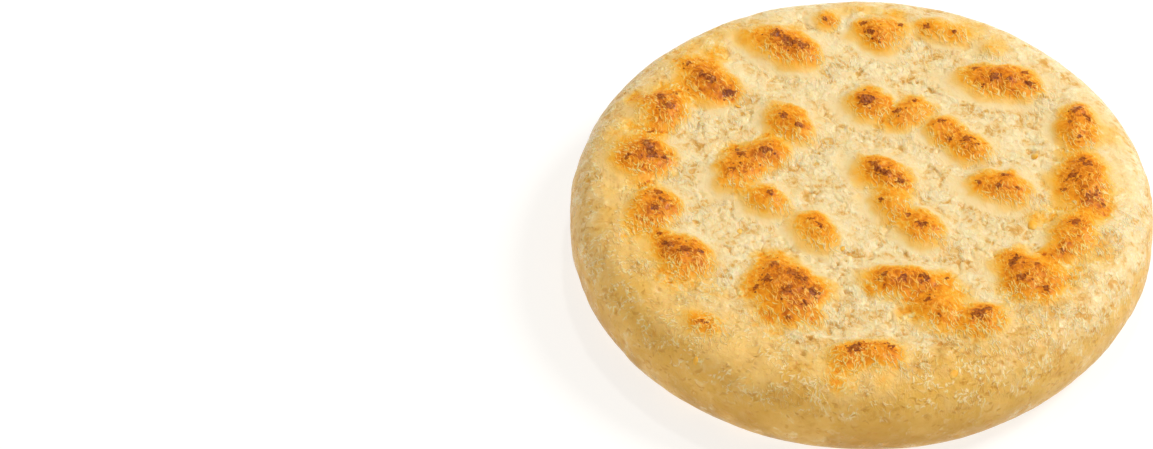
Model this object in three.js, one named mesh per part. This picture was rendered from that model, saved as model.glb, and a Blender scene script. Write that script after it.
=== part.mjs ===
// A griddled arepa: a round cake pressed by hand from one ball of maize dough.
// Its rounded wall runs into a soft rim, and the top has blisters that rose and browned on the griddle.
// Millimetres, +Z up. The origin is the middle of the flat face that the cake rests on, and -Y is the front.
import * as THREE from "three";
import { ImprovedNoise } from "three/addons/math/ImprovedNoise.js";
import { mergeVertices } from "three/addons/utils/BufferGeometryUtils.js";

// Driving dimensions.
const DIAMETER = 110;
const THICKNESS = 18; // at the rim, without blisters
const EDGE = 8; // how far the rounded wall reaches in from the widest place
const EDGE_FULLNESS = 2.2; // 2 is an ellipse, and more is squarer
const DISH = 0.6; // how far the middle of the top lies under the rim
const DISH_START = 36; // radius where the dished floor begins to climb to the rim

// The ball of dough before it is pressed.
const BALL_DETAIL = 21;
const TOP_SHARE = 0.7; // of the ball's skin, which ends up on the top
const WALL_SHARE = 0.25; // and on the wall, with the rest underneath

// Hand-pressed unevenness of the outline: [height, waves round the cake, turn in radians].
const OUTLINE_WAVES = [
  [0.12, 3, 0.6],
  [0.1, 5, 2.1],
  [0.06, 8, 4.4],
];
// Unevenness of the skin: [height, size of a lump].
const WALL_LUMPS = [
  [0.3, 14],
  [0.15, 6],
];
const CRUMB_LUMPS = [
  [0.35, 7],
  [0.3, 3.6],
];

// A blister: middle x and y, length, width, heading of its long side in degrees, and rise.
const blister = (x, y, length, width, heading, rise) => ({
  x,
  y,
  length,
  width,
  turn: THREE.MathUtils.degToRad(heading),
  rise,
});

const BLISTERS = [
  // outer ring, from the front and clockwise as seen from above
  blister(2, -43.5, 19, 10, 3, 1.7),
  blister(-28, -37, 11, 8, -25, 0.9),
  blister(-13, -27.5, 21, 16, -50, 2.2),
  blister(-32.5, -19.5, 19, 12, -38, 2),
  blister(-38.5, -8, 14, 13, 50, 1.8),
  blister(-41, 5.5, 15, 15, -60, 2),
  blister(-38, 18.5, 14, 12, 70, 1.8),
  blister(-30, 27, 18, 13, -40, 1.9),
  blister(-15.5, 37, 20, 12, -20, 2.1),
  blister(-8, 45, 8, 6, 0, 0.7),
  blister(3, 41.5, 15, 11, -20, 1.7),
  blister(14.5, 42.5, 15, 8, -15, 1.1),
  blister(24, 37, 9, 6, -30, 0.7),
  blister(25.5, 29.5, 22, 12, -15, 2),
  blister(40.5, 17.5, 17, 11, -80, 1.9),
  blister(41.5, 3, 20, 14, -85, 2.1),
  blister(39.5, -11, 17, 12, 65, 1.8),
  blister(31.5, -22, 18, 14, -45, 2.1),
  // inner ring
  blister(9, -24.5, 22, 11, -8, 2),
  blister(15.5, -31, 14, 12, -70, 1.7),
  blister(23, -33.5, 13, 11, 10, 1.8),
  blister(-8, -12.5, 16, 11, -55, 1.7),
  blister(-17.5, -4.5, 14, 10, -35, 1.6),
  blister(-23, 3, 15, 12, 60, 1.9),
  blister(-18.5, 7.5, 14, 10, 25, 1.8),
  blister(-14, 16.5, 17, 11, -52, 1.9),
  blister(1, 22, 13, 12, -15, 1.9),
  blister(8.5, 20, 13, 9, 35, 1.7),
  blister(15.5, 15.5, 11, 9, -50, 1.7),
  blister(20, 11.5, 13, 10, -35, 1.7),
  blister(26.5, 1, 17, 12, -15, 1.8),
  // the middle
  blister(4.5, 3.5, 18, 11, -42, 1.9),
  blister(6, -4.5, 13, 10, -60, 1.6),
  blister(11.5, -10, 15, 11, -45, 1.8),
];
const BLISTER_FLANK = 1.2; // 1 meets the dough at an angle, and more runs out flatter

const RADIUS = DIAMETER / 2;
const PLATEAU = RADIUS - EDGE;

const noise = new ImprovedNoise();

/** How far the skin stands out at a place for its lumps, out or in. */
const lumpiness = (lumps, x, y, z) =>
  lumps.reduce((sum, [height, size]) => sum + height * noise.noise(x / size, y / size, z / size), 0);

/** How far the outline stands out at an angle round the cake. */
const outlineWaves = (around) =>
  OUTLINE_WAVES.reduce((sum, [height, waves, turn]) => sum + height * Math.sin(waves * around + turn), 0);

/** One blister's height at a place: a pillow with a rounded crest. */
function blisterHeight({ x, y, length, width, turn, rise }, px, py) {
  const dx = px - x;
  const dy = py - y;
  const along = (dx * Math.cos(turn) + dy * Math.sin(turn)) / (length / 2);
  const across = (dy * Math.cos(turn) - dx * Math.sin(turn)) / (width / 2);
  const inside = Math.max(0, 1 - along ** 2 - across ** 2);
  return rise * inside ** BLISTER_FLANK;
}

/** All blisters together. Where two meet they run into one ridge and don't pile up. */
const blisterHeights = (x, y) =>
  Math.cbrt(BLISTERS.reduce((sum, each) => sum + blisterHeight(each, x, y) ** 3, 0));

/** The plain cake's skin at a share of the ball's skin, counted down from its top: radius and height. */
function section(share) {
  const underside = 1 - TOP_SHARE - WALL_SHARE;
  if (share < TOP_SHARE) return { r: PLATEAU * Math.sqrt(share / TOP_SHARE), z: THICKNESS };
  if (share > 1 - underside) return { r: PLATEAU * Math.sqrt((1 - share) / underside), z: 0 };
  const angle = (Math.PI * (share - TOP_SHARE)) / WALL_SHARE; // 0 at the top edge, pi at the lower one
  const power = 2 / EDGE_FULLNESS;
  const rise = Math.sign(Math.cos(angle)) * Math.abs(Math.cos(angle)) ** power;
  return { r: PLATEAU + EDGE * Math.abs(Math.sin(angle)) ** power, z: (THICKNESS / 2) * (1 + rise) };
}

/** Where a point of the ball's skin, a unit vector, lies on the pressed and griddled cake. */
function press(skin) {
  const around = Math.atan2(skin.y, skin.x);
  const { r, z } = section((1 - skin.z) / 2);
  const onWall = Math.sin((Math.PI * z) / THICKNESS); // 1 at the widest place and 0 on both faces
  const [across, back] = [r * Math.cos(around), r * Math.sin(around)];
  const stretch = 1 + (outlineWaves(around) + onWall * lumpiness(WALL_LUMPS, across, back, z)) / RADIUS;
  const [x, y] = [across * stretch, back * stretch];
  if (z < THICKNESS / 2) return new THREE.Vector3(x, y, z);
  const facingUp = THREE.MathUtils.smoothstep(z, THICKNESS * 0.72, THICKNESS * 0.98);
  const floor = DISH * (THREE.MathUtils.smoothstep(r, DISH_START, PLATEAU) - 1);
  const relief = floor + lumpiness(CRUMB_LUMPS, x, y, z) + blisterHeights(x, y);
  return new THREE.Vector3(x, y, z + facingUp * relief);
}

/** The cake's closed skin: a ball with every point pressed into place, middled over the origin. */
function cakeGeometry() {
  const ball = new THREE.IcosahedronGeometry(1, BALL_DETAIL);
  ball.deleteAttribute("normal");
  ball.deleteAttribute("uv");
  const skin = mergeVertices(ball, 1e-5);
  const position = skin.getAttribute("position");
  for (let i = 0; i < position.count; i++) {
    const place = press(new THREE.Vector3().fromBufferAttribute(position, i).normalize());
    position.setXYZ(i, place.x, place.y, place.z);
  }
  skin.computeBoundingBox();
  const middle = skin.boundingBox.getCenter(new THREE.Vector3());
  skin.translate(-middle.x, -middle.y, 0);
  skin.computeVertexNormals();
  return skin;
}

const griddledDough = new THREE.MeshStandardMaterial({ color: 0xecc688, roughness: 0.62, metalness: 0 });

const cake = new THREE.Mesh(cakeGeometry(), griddledDough);
cake.name = "corn_cake";

const arepa = new THREE.Group();
arepa.add(cake);

export default arepa;
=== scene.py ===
"""A griddled arepa: a thick round cake of maize dough with browned blisters, a coarse crumb and strands.

The skin is one mesh, pressed from a ball. Its form is worked out point by point in millimetres, with +Z up
and -Y to the front, and so are the masks that say where its dough is browned, charred, waxy or full of
strands. Two node groups turn the masks into fine relief and colours. Some loose strands and bits of maize
lie on the skin.
"""
import itertools
import math
from typing import NamedTuple

import bpy
import numpy as np
from bpy.props import FloatProperty, FloatVectorProperty, IntProperty, PointerProperty
from mathutils import Matrix, Vector
from mathutils.bvhtree import BVHTree


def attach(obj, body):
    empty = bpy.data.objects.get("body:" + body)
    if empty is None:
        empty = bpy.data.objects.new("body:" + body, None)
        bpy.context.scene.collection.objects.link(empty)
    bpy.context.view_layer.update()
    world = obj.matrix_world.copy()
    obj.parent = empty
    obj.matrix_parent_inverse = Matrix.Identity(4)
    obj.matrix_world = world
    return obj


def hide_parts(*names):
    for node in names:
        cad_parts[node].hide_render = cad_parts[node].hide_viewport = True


bl_info = {
    "name": "Griddled arepa",
    "version": (1, 0, 0),
    "blender": (4, 5, 0),
    "location": "View3D > Sidebar > Arepa",
    "description": "Makes a griddled maize cake with its blisters, crumb and loose strands",
    "category": "Object",
}

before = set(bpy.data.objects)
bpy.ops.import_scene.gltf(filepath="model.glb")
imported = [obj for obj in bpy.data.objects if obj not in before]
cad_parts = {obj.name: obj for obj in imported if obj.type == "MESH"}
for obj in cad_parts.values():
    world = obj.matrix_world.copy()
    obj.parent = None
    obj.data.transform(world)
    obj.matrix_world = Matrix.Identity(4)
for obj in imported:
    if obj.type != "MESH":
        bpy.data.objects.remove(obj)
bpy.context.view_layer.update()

MM = 0.001
BODY = "root"
CAKE_NODE = "corn_cake"
BODY_PIECE = "griddled_cake"
BODY_TRIANGLES = 195_000
MASKS = ("browned", "charred", "rise", "crevice", "waxy", "wall", "low", "underside", "strandy", "tint")

# ---------------------------------------------------------------- places on the cake, in millimetres


class Blister(NamedTuple):
    """An ellipse on the top that rose and browned. Its middle, length, width and rise are in millimetres."""

    x: float
    y: float
    length: float
    width: float
    heading: float  # of its long side, in degrees
    rise: float
    brown: float  # from 0 to 1

    def axes(self):
        """Unit vectors along the long side and across it, in plan."""
        turn = math.radians(self.heading)
        return np.array([math.cos(turn), math.sin(turn)]), np.array([-math.sin(turn), math.cos(turn)])

    def how_far_out(self, points):
        """0 in the middle of the ellipse and 1 on its edge."""
        turn = math.radians(self.heading)
        dx, dy = points[:, 0] - self.x, points[:, 1] - self.y
        along = (dx * math.cos(turn) + dy * math.sin(turn)) / (self.length / 2)
        across = (dy * math.cos(turn) - dx * math.sin(turn)) / (self.width / 2)
        return np.hypot(along, across)


BLISTERS = (
    # outer ring, from the front and clockwise as seen from above
    Blister(2, -43.5, 19, 10, 3, 1.7, 0.85),
    Blister(-28, -37, 11, 8, -25, 0.9, 0.55),
    Blister(-13, -27.5, 21, 16, -50, 2.2, 1.0),
    Blister(-32.5, -19.5, 19, 12, -38, 2.0, 0.9),
    Blister(-38.5, -8, 14, 13, 50, 1.8, 0.9),
    Blister(-41, 5.5, 15, 15, -60, 2.0, 1.0),
    Blister(-38, 18.5, 14, 12, 70, 1.8, 0.95),
    Blister(-30, 27, 18, 13, -40, 1.9, 0.95),
    Blister(-15.5, 37, 20, 12, -20, 2.1, 0.9),
    Blister(-8, 45, 8, 6, 0, 0.7, 0.4),
    Blister(3, 41.5, 15, 11, -20, 1.7, 0.65),
    Blister(14.5, 42.5, 15, 8, -15, 1.1, 0.45),
    Blister(24, 37, 9, 6, -30, 0.7, 0.2),
    Blister(25.5, 29.5, 22, 12, -15, 2.0, 0.9),
    Blister(40.5, 17.5, 17, 11, -80, 1.9, 0.75),
    Blister(41.5, 3, 20, 14, -85, 2.1, 0.9),
    Blister(39.5, -11, 17, 12, 65, 1.8, 0.8),
    Blister(31.5, -22, 18, 14, -45, 2.1, 0.95),
    # inner ring
    Blister(9, -24.5, 22, 11, -8, 2.0, 0.9),
    Blister(15.5, -31, 14, 12, -70, 1.7, 0.7),
    Blister(23, -33.5, 13, 11, 10, 1.8, 0.85),
    Blister(-8, -12.5, 16, 11, -55, 1.7, 0.65),
    Blister(-17.5, -4.5, 14, 10, -35, 1.6, 0.6),
    Blister(-23, 3, 15, 12, 60, 1.9, 0.85),
    Blister(-18.5, 7.5, 14, 10, 25, 1.8, 0.85),
    Blister(-14, 16.5, 17, 11, -52, 1.9, 0.7),
    Blister(1, 22, 13, 12, -15, 1.9, 0.75),
    Blister(8.5, 20, 13, 9, 35, 1.7, 0.7),
    Blister(15.5, 15.5, 11, 9, -50, 1.7, 0.7),
    Blister(20, 11.5, 13, 10, -35, 1.7, 0.7),
    Blister(26.5, 1, 17, 12, -15, 1.8, 0.7),
    # the middle
    Blister(4.5, 3.5, 18, 11, -42, 1.9, 0.75),
    Blister(6, -4.5, 13, 10, -60, 1.6, 0.55),
    Blister(11.5, -10, 15, 11, -45, 1.8, 0.7),
)

SKIRT = 1.15  # how far a blister's foot runs out past its ellipse
# A blister's browning is moved and runs out farther towards the front left, partly as painted shade on the
# flanks that face away from the key light.
BROWN_AND_SHADE_SHIFT = (-0.3, -0.8, 0)  # from a blister's middle to the middle of its browning
FAR_SIDE = (0.5, 0.87)  # the way in plan to the side where a blister's browning ends more sharply

# A charred spot: x, y and radius.
CHAR_SPOTS = (
    (0, -43.5, 1.9), (6.5, -42, 1.3), (-28, -37.7, 1.0),
    (-15.5, -22.5, 1.4), (-12, -25, 1.7), (-16.5, -26.5, 1.6), (-13, -29.5, 1.5), (-8, -29, 1.6),
    (-19, -28, 0.9), (-12.7, -35, 0.7), (-9.5, -32, 1.2), (-10, -26.5, 1.2),
    (-32.2, -20, 1.7), (-29, -20, 1.1), (-35, -19, 1.0), (-36, -18, 0.8), (-37, -15.5, 0.8),
    (-37.7, -4.6, 1.2), (-37, -7, 1.2), (-38, -9.5, 1.1),
    (-40.5, 7, 1.5), (-39.5, 4.5, 1.8), (-44, 4, 1.0), (-40.5, 11.8, 0.9), (-37, 4.5, 0.9),
    (-37.3, 17.8, 1.7), (-39, 19.8, 1.1), (-36, 21.8, 0.9),
    (-31, 26.5, 1.4), (-29, 25.5, 1.2), (-26.8, 23, 1.1), (-25.5, 23, 0.9), (-34, 30, 0.9),
    (-17.8, 38.4, 1.4), (-15, 37, 1.9), (-12.3, 35.7, 1.5),
    (-8.2, 44.3, 1.0), (0.2, 40.7, 1.1), (-0.8, 43, 0.9), (2.4, 38.7, 0.8), (6, 42.7, 1.1),
    (11.3, 43, 0.9), (17, 42, 0.8),
    (20.7, 31.5, 1.3), (24.5, 29, 1.3), (31.3, 28, 1.2), (30.3, 31, 0.9), (27, 28.3, 0.9),
    (40, 20.7, 1.4), (42.2, 18.6, 1.1), (38.7, 17.5, 0.9), (41, 14, 0.8),
    (39.5, 3, 1.9), (42.3, 6, 1.3), (41, 7.5, 1.0), (43.8, -1.3, 1.2), (37.7, 0, 0.9), (45, -3.5, 0.8),
    (42, -2, 0.9), (40, -9, 1.6), (37.4, -16, 1.1),
    (29, -18.5, 1.4), (27.8, -20, 1.2), (30, -23.5, 1.6), (34.5, -26, 1.0), (33, -20, 1.0),
    (12.5, -24.5, 1.8), (4.7, -24, 1.2), (8.5, -24.7, 1.1), (16.5, -24, 0.8),
    (13, -30, 1.0), (15, -33.5, 0.8), (22.2, -33.5, 1.7), (24, -32, 1.1),
    (-9, -10.5, 1.2), (-7.5, -12, 0.9), (-17, -4.3, 0.9),
    (-22.5, 6, 1.4), (-18.3, 7.2, 1.4), (-24.5, 1.8, 1.0), (-24, 8, 0.9),
    (-15, 16.5, 1.3), (-12.3, 14.3, 1.2),
    (-0.2, 21.5, 1.4), (1.3, 22, 1.0), (0, 25, 0.7), (6.3, 19.2, 1.3), (9.5, 22.3, 0.9),
    (15, 16.5, 1.1), (16.5, 12.8, 0.9), (19.5, 12.3, 1.4), (21.5, 10.8, 0.9), (19, 10, 0.7),
    (25.5, 0, 1.2), (22, 1.5, 0.8), (26.7, 3, 0.9), (29, -0.5, 0.8),
    (2, 4.5, 1.1), (3.2, 3.3, 1.2), (4.8, 2, 1.3), (7.3, 0.8, 1.4), (3.7, -4.5, 0.9),
    (11.5, -10.5, 1.6), (9, -8, 0.9),
)

# A bit of maize in the skin: x, y, length, width and heading in degrees.
CORN_BITS = (
    (32, 10, 2.6, 1.7, 80), (32, -8.6, 2.6, 1.9, 20), (-22.5, -12.6, 2.2, 1.5, 70), (18, -47, 2.4, 1.6, 20),
    (-29, -44.5, 1.9, 1.2, 110), (-24, 20.5, 1.4, 1.0, 30), (20, 28, 1.3, 0.9, 60), (-3, -17, 1.4, 0.9, 10),
)

# A toasted place beside or between blisters: x, y, radius and how brown it is.
TOASTED_PLACES = (
    # the ring of blisters runs together here
    (-34, 23.5, 5, 0.5), (-39.5, 12.5, 4.5, 0.45), (-41, -2, 4.5, 0.4), (-41, -13, 6, 0.5),
    (-36, -20, 5, 0.3), (-33, -26, 6, 0.35), (-22.5, 38.5, 4, 0.4), (-28.5, 33.5, 4, 0.6),
    (-12, 31.5, 3, 0.2), (37.5, 10.5, 4, 0.2), (43, -5.5, 4.5, 0.6), (36, -17, 4.5, 0.65),
    (38, 4, 4.5, 0.3), (27, -20, 4, 0.45), (29, -26, 4, 0.3), (-43, 21, 4, 0.4),
    (-45, 13, 4, 0.4), (5, 47, 3, 0.4),
    # the blisters of the middle
    (-18.5, -26, 4.5, 0.35), (-17, -20, 4, 0.55), (-15, -34, 4, 0.3), (-8.5, -35, 5, 0.35),
    (-6, -27, 4, 0.3), (-17, 12, 4, 0.4), (-24, 8.5, 3.5, 0.3), (0, 1.5, 4, 0.15),
    (-1, -3, 3.5, 0.1), (4, -11, 3.5, 0.1), (-10, -13.5, 3.5, 0.1), (20.5, 2, 3.5, 0.2),
    (19, -27, 4.5, 0.4), (3, -26, 3.5, 0.3), (11, -31, 4.5, 0.2), (17, -36, 4, 0.2),
    (5, 17.5, 3.5, 0.1), (18, 15, 3, 0.4),
    # gold on the rim and at the feet of blisters
    (-21, -42, 5, 0.1), (-13, -42, 5, 0.15), (-20, -51, 3.5, 0.4), (-16, -48, 4, 0.2),
    (-3, -50, 4, 0.4), (5, -50, 3.5, 0.3), (8, -46, 4, 0.2), (-46, 5, 6, 0.2),
    (-47, -4, 5, 0.2), (-44, -22, 8, 0.1), (-34, -34, 9, 0.1), (-24, -43, 9, 0.1),
    (46, 2, 8, 0.15), (44, -16, 7, 0.22), (-36, 35, 9, 0.25), (20, 44, 9, 0.2),
    (-2, 47, 10, 0.2), (38, -24, 7, 0.22), (46, 16, 7, 0.2), (-26, -29, 5, 0.2),
    (-22, -35, 5, 0.15), (-16, -38, 5, 0.2), (-3, -48, 5, 0.3), (10, -33, 5, 0.2),
    (33, -7, 4, 0.3), (27, -17, 4, 0.25), (27, -31, 4, 0.2), (22, -40, 4, 0.15),
    (-48, 10, 5, 0.15), (-14, 41.5, 3, 0.3), (-21, 43, 3, 0.2), (-39, 24, 3, 0.4),
    (-20.5, 10.5, 2.5, 0.3), (-13, -20.5, 3.5, 0.35), (36, -5, 3.5, 0.35), (30, -15.5, 3, 0.3),
    (37.5, -21.5, 4, 0.4), (25.5, -20, 3, 0.25), (31.5, -33, 3, 0.2), (-33, -36, 5, 0.1),
    (-20, -51, 4, 0.3), (-1, -51, 4, 0.2), (-36, -26, 4, 0.2), (-44, -15, 4, 0.2),
    (-39, 3, 4, 0.25), (25, 38.5, 4, 0.3), (45, 7, 3, 0.2), (9.5, 24, 2.5, 0.35),
    (13, 21, 2.5, 0.35), (17, 18, 2.5, 0.25),
    # paler than the rest of its blister
    (3, 8.5, 3.5, -0.4), (7.5, 6, 3.5, -0.45), (11, -21.5, 4, -0.45), (6, -21.5, 3, -0.3),
    (24, 33.5, 4, -0.4), (-9, -8.5, 3, -0.35), (-1.5, 44.5, 3, -0.35), (-4, 44, 3, -0.3),
    (5, 40, 3, -0.25), (16, 42, 4, -0.3), (-18, 34, 3.5, -0.3), (9, -7, 3.5, -0.3),
    (18, 12, 5, -0.2), (1.5, -28, 3.5, -0.3), (15, -34, 3.5, -0.3), (25.5, -34, 3, -0.25),
    (44.8, -2.3, 3, -0.2),
    # a toasted place at the back left
    (-28, 41, 7, 0.2),
)

# ---------------------------------------------------------------- settings


class CakeSettings(bpy.types.PropertyGroup):
    diameter: FloatProperty(
        name="Diameter", description="Across the widest place", default=0.110, unit="LENGTH")
    thickness: FloatProperty(
        name="Thickness", description="At the rim, without blisters", default=0.018, unit="LENGTH")
    edge: FloatProperty(
        name="Edge", description="How far the rounded wall reaches in", default=0.008, unit="LENGTH")
    edge_fullness: FloatProperty(
        name="Edge fullness", description="2 is an ellipse, and more is squarer", default=2.2)
    dish: FloatProperty(
        name="Dish", description="How far the middle of the top lies under the rim", default=0.0006,
        unit="LENGTH")
    dish_start: FloatProperty(
        name="Dish start", description="Radius where the dished floor climbs to the rim", default=0.036,
        unit="LENGTH")
    blister_flank: FloatProperty(
        name="Blister flank", description="1 meets the dough at an angle, and more runs out flatter",
        default=2.0)
    crumb_depth: FloatProperty(
        name="Crumb depth", description="Depth of the crevices between crumbs", default=0.00042,
        unit="LENGTH")


class StrandSettings(bpy.types.PropertyGroup):
    count: IntProperty(name="Strands", description="Fine golden strands on the blisters", default=260)
    seed: IntProperty(name="Seed", description="Changes where the strands lie and how they bend", default=11)


def colour_property(name, description, default):
    return FloatVectorProperty(name=name, description=description, subtype="COLOR", size=3, default=default)


class ColourSettings(bpy.types.PropertyGroup):
    dough: colour_property("Dough", "Pale dough", (0.86, 0.655, 0.325))
    # pale and palest are painted highlights on raised crumb and ridges; palest also makes loose strands
    # paler
    pale: colour_property("Pale", "Raised crumb", (0.88, 0.73, 0.425))
    palest: colour_property("Palest", "Ridges and strands of crumb", (0.93, 0.795, 0.50))
    # painted shade in the pits and crevices of the crumb
    pit_shade: colour_property("Hollow", "Pits between crumbs", (0.76, 0.47, 0.14))
    # a painted highlight on ridges beside the browning
    yellow_highlight: colour_property("Yellow", "Strands at the edge of a blister", (0.96, 0.70, 0.26))
    # bright is a painted highlight on ridges of browned crumb; it also makes loose strands on browned skin
    # paler
    bright: colour_property("Bright", "Ridges of browned crumb", (0.96, 0.63, 0.15))
    crust: colour_property("Crust", "Dough of the wall", (0.785, 0.46, 0.078))
    # painted shade: darker crust low on the wall, where little light reaches it
    low_crust_painted_shade: colour_property("Low crust", "Dough of the wall near the griddle", (0.51, 0.265, 0.035))
    fleck: colour_property("Fleck", "Toasted flecks on the wall", (0.66, 0.35, 0.06))
    honey: colour_property("Honey", "Faint browning", (0.88, 0.57, 0.165))
    golden: colour_property("Golden", "First browning", (0.90, 0.46, 0.045))
    orange: colour_property("Orange", "Full browning", (0.90, 0.36, 0.012))
    amber: colour_property("Amber", "Deep browning", (0.78, 0.25, 0.004))
    russet: colour_property("Russet", "Deepest browning", (0.53, 0.135, 0.003))
    brown: colour_property("Brown", "Charred skin", (0.42, 0.11, 0.007))
    char: colour_property("Char", "Darkest lines of charred skin", (0.20, 0.04, 0.002))
    # paler streaks of charred skin, partly painted highlight on its ridges
    ash_and_sheen: colour_property("Ash", "Paler streaks of charred skin", (0.58, 0.25, 0.06))


class StageSettings(bpy.types.PropertyGroup):
    floor: FloatVectorProperty(
        name="Floor", description="Floor colour", subtype="COLOR", size=3, default=(0.35, 0.35, 0.35))
    floor_glow: FloatProperty(
        name="Floor glow", description="Light of the lit table under the cake", default=0.72)
    key: FloatProperty(
        name="Key", description="Strength of the soft light from the right", default=11.4, unit="POWER")
    glint: FloatProperty(
        name="Glint", description="Strength of the small light overhead", default=2.2, unit="POWER")
    fill: FloatProperty(
        name="Fill", description="Strength of the light from the front left", default=3.7, unit="POWER")
    sky: FloatProperty(name="Sky", description="Brightness all round", default=0.4)
    warmth: FloatVectorProperty(
        name="Warmth", description="Colour of the light all round and from the front left", subtype="COLOR",
        size=3, default=(1.0, 0.9, 0.72))
    distance: FloatProperty(
        name="Distance", description="From the cake's middle to the camera", default=1.0, unit="LENGTH")


# ---------------------------------------------------------------- noise

FAR = 9.0  # where a search for the nearest cell or blister starts, in sizes of one


def hash_numbers(cells, seed):
    """Random whole numbers for whole-number cells, the same on every run."""
    x, y, z = (cells[..., i].astype(np.uint64) for i in range(3))
    with np.errstate(over="ignore"):
        h = x * np.uint64(0x9E3779B97F4A7C15)
        h ^= y * np.uint64(0xC2B2AE3D27D4EB4F) + (h >> np.uint64(29))
        h ^= z * np.uint64(0x165667B19E3779F9) + (h >> np.uint64(31))
        h = (h ^ np.uint64(seed)) * np.uint64(0xD6E8FEB86659FD93)
        h ^= h >> np.uint64(32)
        h = h * np.uint64(0xD6E8FEB86659FD93)
    return h ^ (h >> np.uint64(32))


def hash_units(cells, seed):
    """Random numbers from 0 to 1 for whole-number cells, three for each."""
    h = hash_numbers(cells, seed)
    parts = [(h >> np.uint64(shift)) & np.uint64(0xFFFFF) for shift in (0, 20, 40)]
    return np.stack(parts, -1).astype(float) / 0xFFFFF


def lumps(points, size, seed):
    """Smooth noise from about -1 to 1, with lumps of the given size."""
    p = points / size
    cell = np.floor(p).astype(np.int64)
    part = p - cell
    ease = part**3 * (part * (part * 6 - 15) + 10)
    total = np.zeros(len(p))
    for corner in itertools.product((0, 1), repeat=3):
        gradient = hash_units(cell + corner, seed) * 2 - 1
        weight = np.prod(np.where(corner, ease, 1 - ease), axis=1)
        total += weight * np.sum(gradient * (part - corner), axis=1)
    return total * 1.7


def fractal(points, size, seed, octaves=3):
    """Lumps with smaller lumps on them."""
    total = sum(lumps(points, size / 2**i, seed + i) / 2**i for i in range(octaves))
    return total / 1.4


def cells(points, size, seed):
    """How far off the nearest two of random points lie, in sizes, and the nearest one's own number."""
    p = points / size
    cell = np.floor(p).astype(np.int64)
    nearest, second = np.full(len(p), FAR), np.full(len(p), FAR)
    own = np.zeros(len(p))
    for step in itertools.product((-1, 0, 1), repeat=3):
        random = hash_units(cell + step, seed)
        away = np.linalg.norm(cell + step + random - p, axis=1)
        closer = away < nearest
        second = np.where(closer, nearest, np.minimum(second, away))
        own = np.where(closer, hash_units(cell + step, seed + 99)[:, 0], own)
        nearest = np.where(closer, away, nearest)
    return nearest, second, own


def offsets(points, across, along):
    """Offsets in plan that wander from place to place, from one noise for X and one for Y."""
    return np.stack([fractal(points, *across), fractal(points, *along), np.zeros(len(points))], -1)


def smoothstep(value, low, high):
    """0 below low, 1 above high, and a smooth change between."""
    t = np.clip((value - low) / (high - low), 0, 1)
    return t * t * (3 - 2 * t)


# ---------------------------------------------------------------- meshes


def only(piece):
    """Selects one object and makes it the active one."""
    if bpy.context.mode != "OBJECT":
        bpy.ops.object.mode_set(mode="OBJECT")
    bpy.ops.object.select_all(action="DESELECT")
    piece.select_set(True)
    bpy.context.view_layer.objects.active = piece


def vertex_vectors(mesh, name):
    """The vertices' places (co) or normals (normal) as an array."""
    flat = np.empty(len(mesh.vertices) * 3)
    mesh.vertices.foreach_get(name, flat)
    return flat.reshape(-1, 3)


def vertex_mask(mesh, name):
    """A mask that is stored on the vertices."""
    values = np.empty(len(mesh.vertices), np.float32)
    mesh.attributes[name].data.foreach_get("value", values)
    return values


def put_masks(mesh, masks):
    """Stores masks on the vertices, for the materials to read by name."""
    for name, values in masks.items():
        layer = mesh.attributes.get(name) or mesh.attributes.new(name, "FLOAT", "POINT")
        layer.data.foreach_set("value", np.asarray(values, np.float32))


def finish_piece(piece):
    """Shades a piece and says what it belongs to."""
    only(piece)
    bpy.ops.object.shade_smooth()
    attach(piece, BODY)
    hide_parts(CAKE_NODE)


def take_prototype(name):
    """Turns the active object into a mesh of triangles that is copied later, and removes the object."""
    bpy.ops.object.mode_set(mode="EDIT")
    bpy.ops.mesh.select_all(action="SELECT")
    bpy.ops.mesh.quads_convert_to_tris()
    bpy.ops.object.mode_set(mode="OBJECT")
    made = bpy.context.active_object
    mesh = made.data
    mesh.name = name
    bpy.data.objects.remove(made)
    return mesh


def joined_copies(name, prototype, points, masks):
    """One piece of many copies of a prototype. points has each copy's vertices, and masks its values."""
    faces = np.array([list(face.vertices) for face in prototype.polygons])
    copies, per_copy = points.shape[:2]
    loops = (faces[None] + np.arange(copies)[:, None, None] * per_copy).ravel()
    mesh = bpy.data.meshes.new(name)
    mesh.vertices.add(copies * per_copy)
    mesh.vertices.foreach_set("co", points.ravel())
    mesh.loops.add(len(loops))
    mesh.loops.foreach_set("vertex_index", loops.astype(np.int32))
    mesh.polygons.add(copies * len(faces))
    mesh.polygons.foreach_set("loop_start", np.arange(0, len(loops), 3, dtype=np.int32))
    mesh.update(calc_edges=True)
    mesh.validate()
    put_masks(mesh, {key: np.repeat(values, per_copy) for key, values in masks.items()})
    piece = bpy.data.objects.new(name, mesh)
    bpy.context.scene.collection.objects.link(piece)
    return piece


# ---------------------------------------------------------------- the cake's form

# The shares of the ball's skin that end up on the top and on the wall, with the rest underneath.
TOP_SHARE, WALL_SHARE = 0.66, 0.27
# Hand-pressed unevenness of the outline: height, waves round the cake and turn in radians.
OUTLINE_WAVES = ((0.12, 3, 0.6), (0.1, 5, 2.1), (0.06, 8, 4.4))

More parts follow.
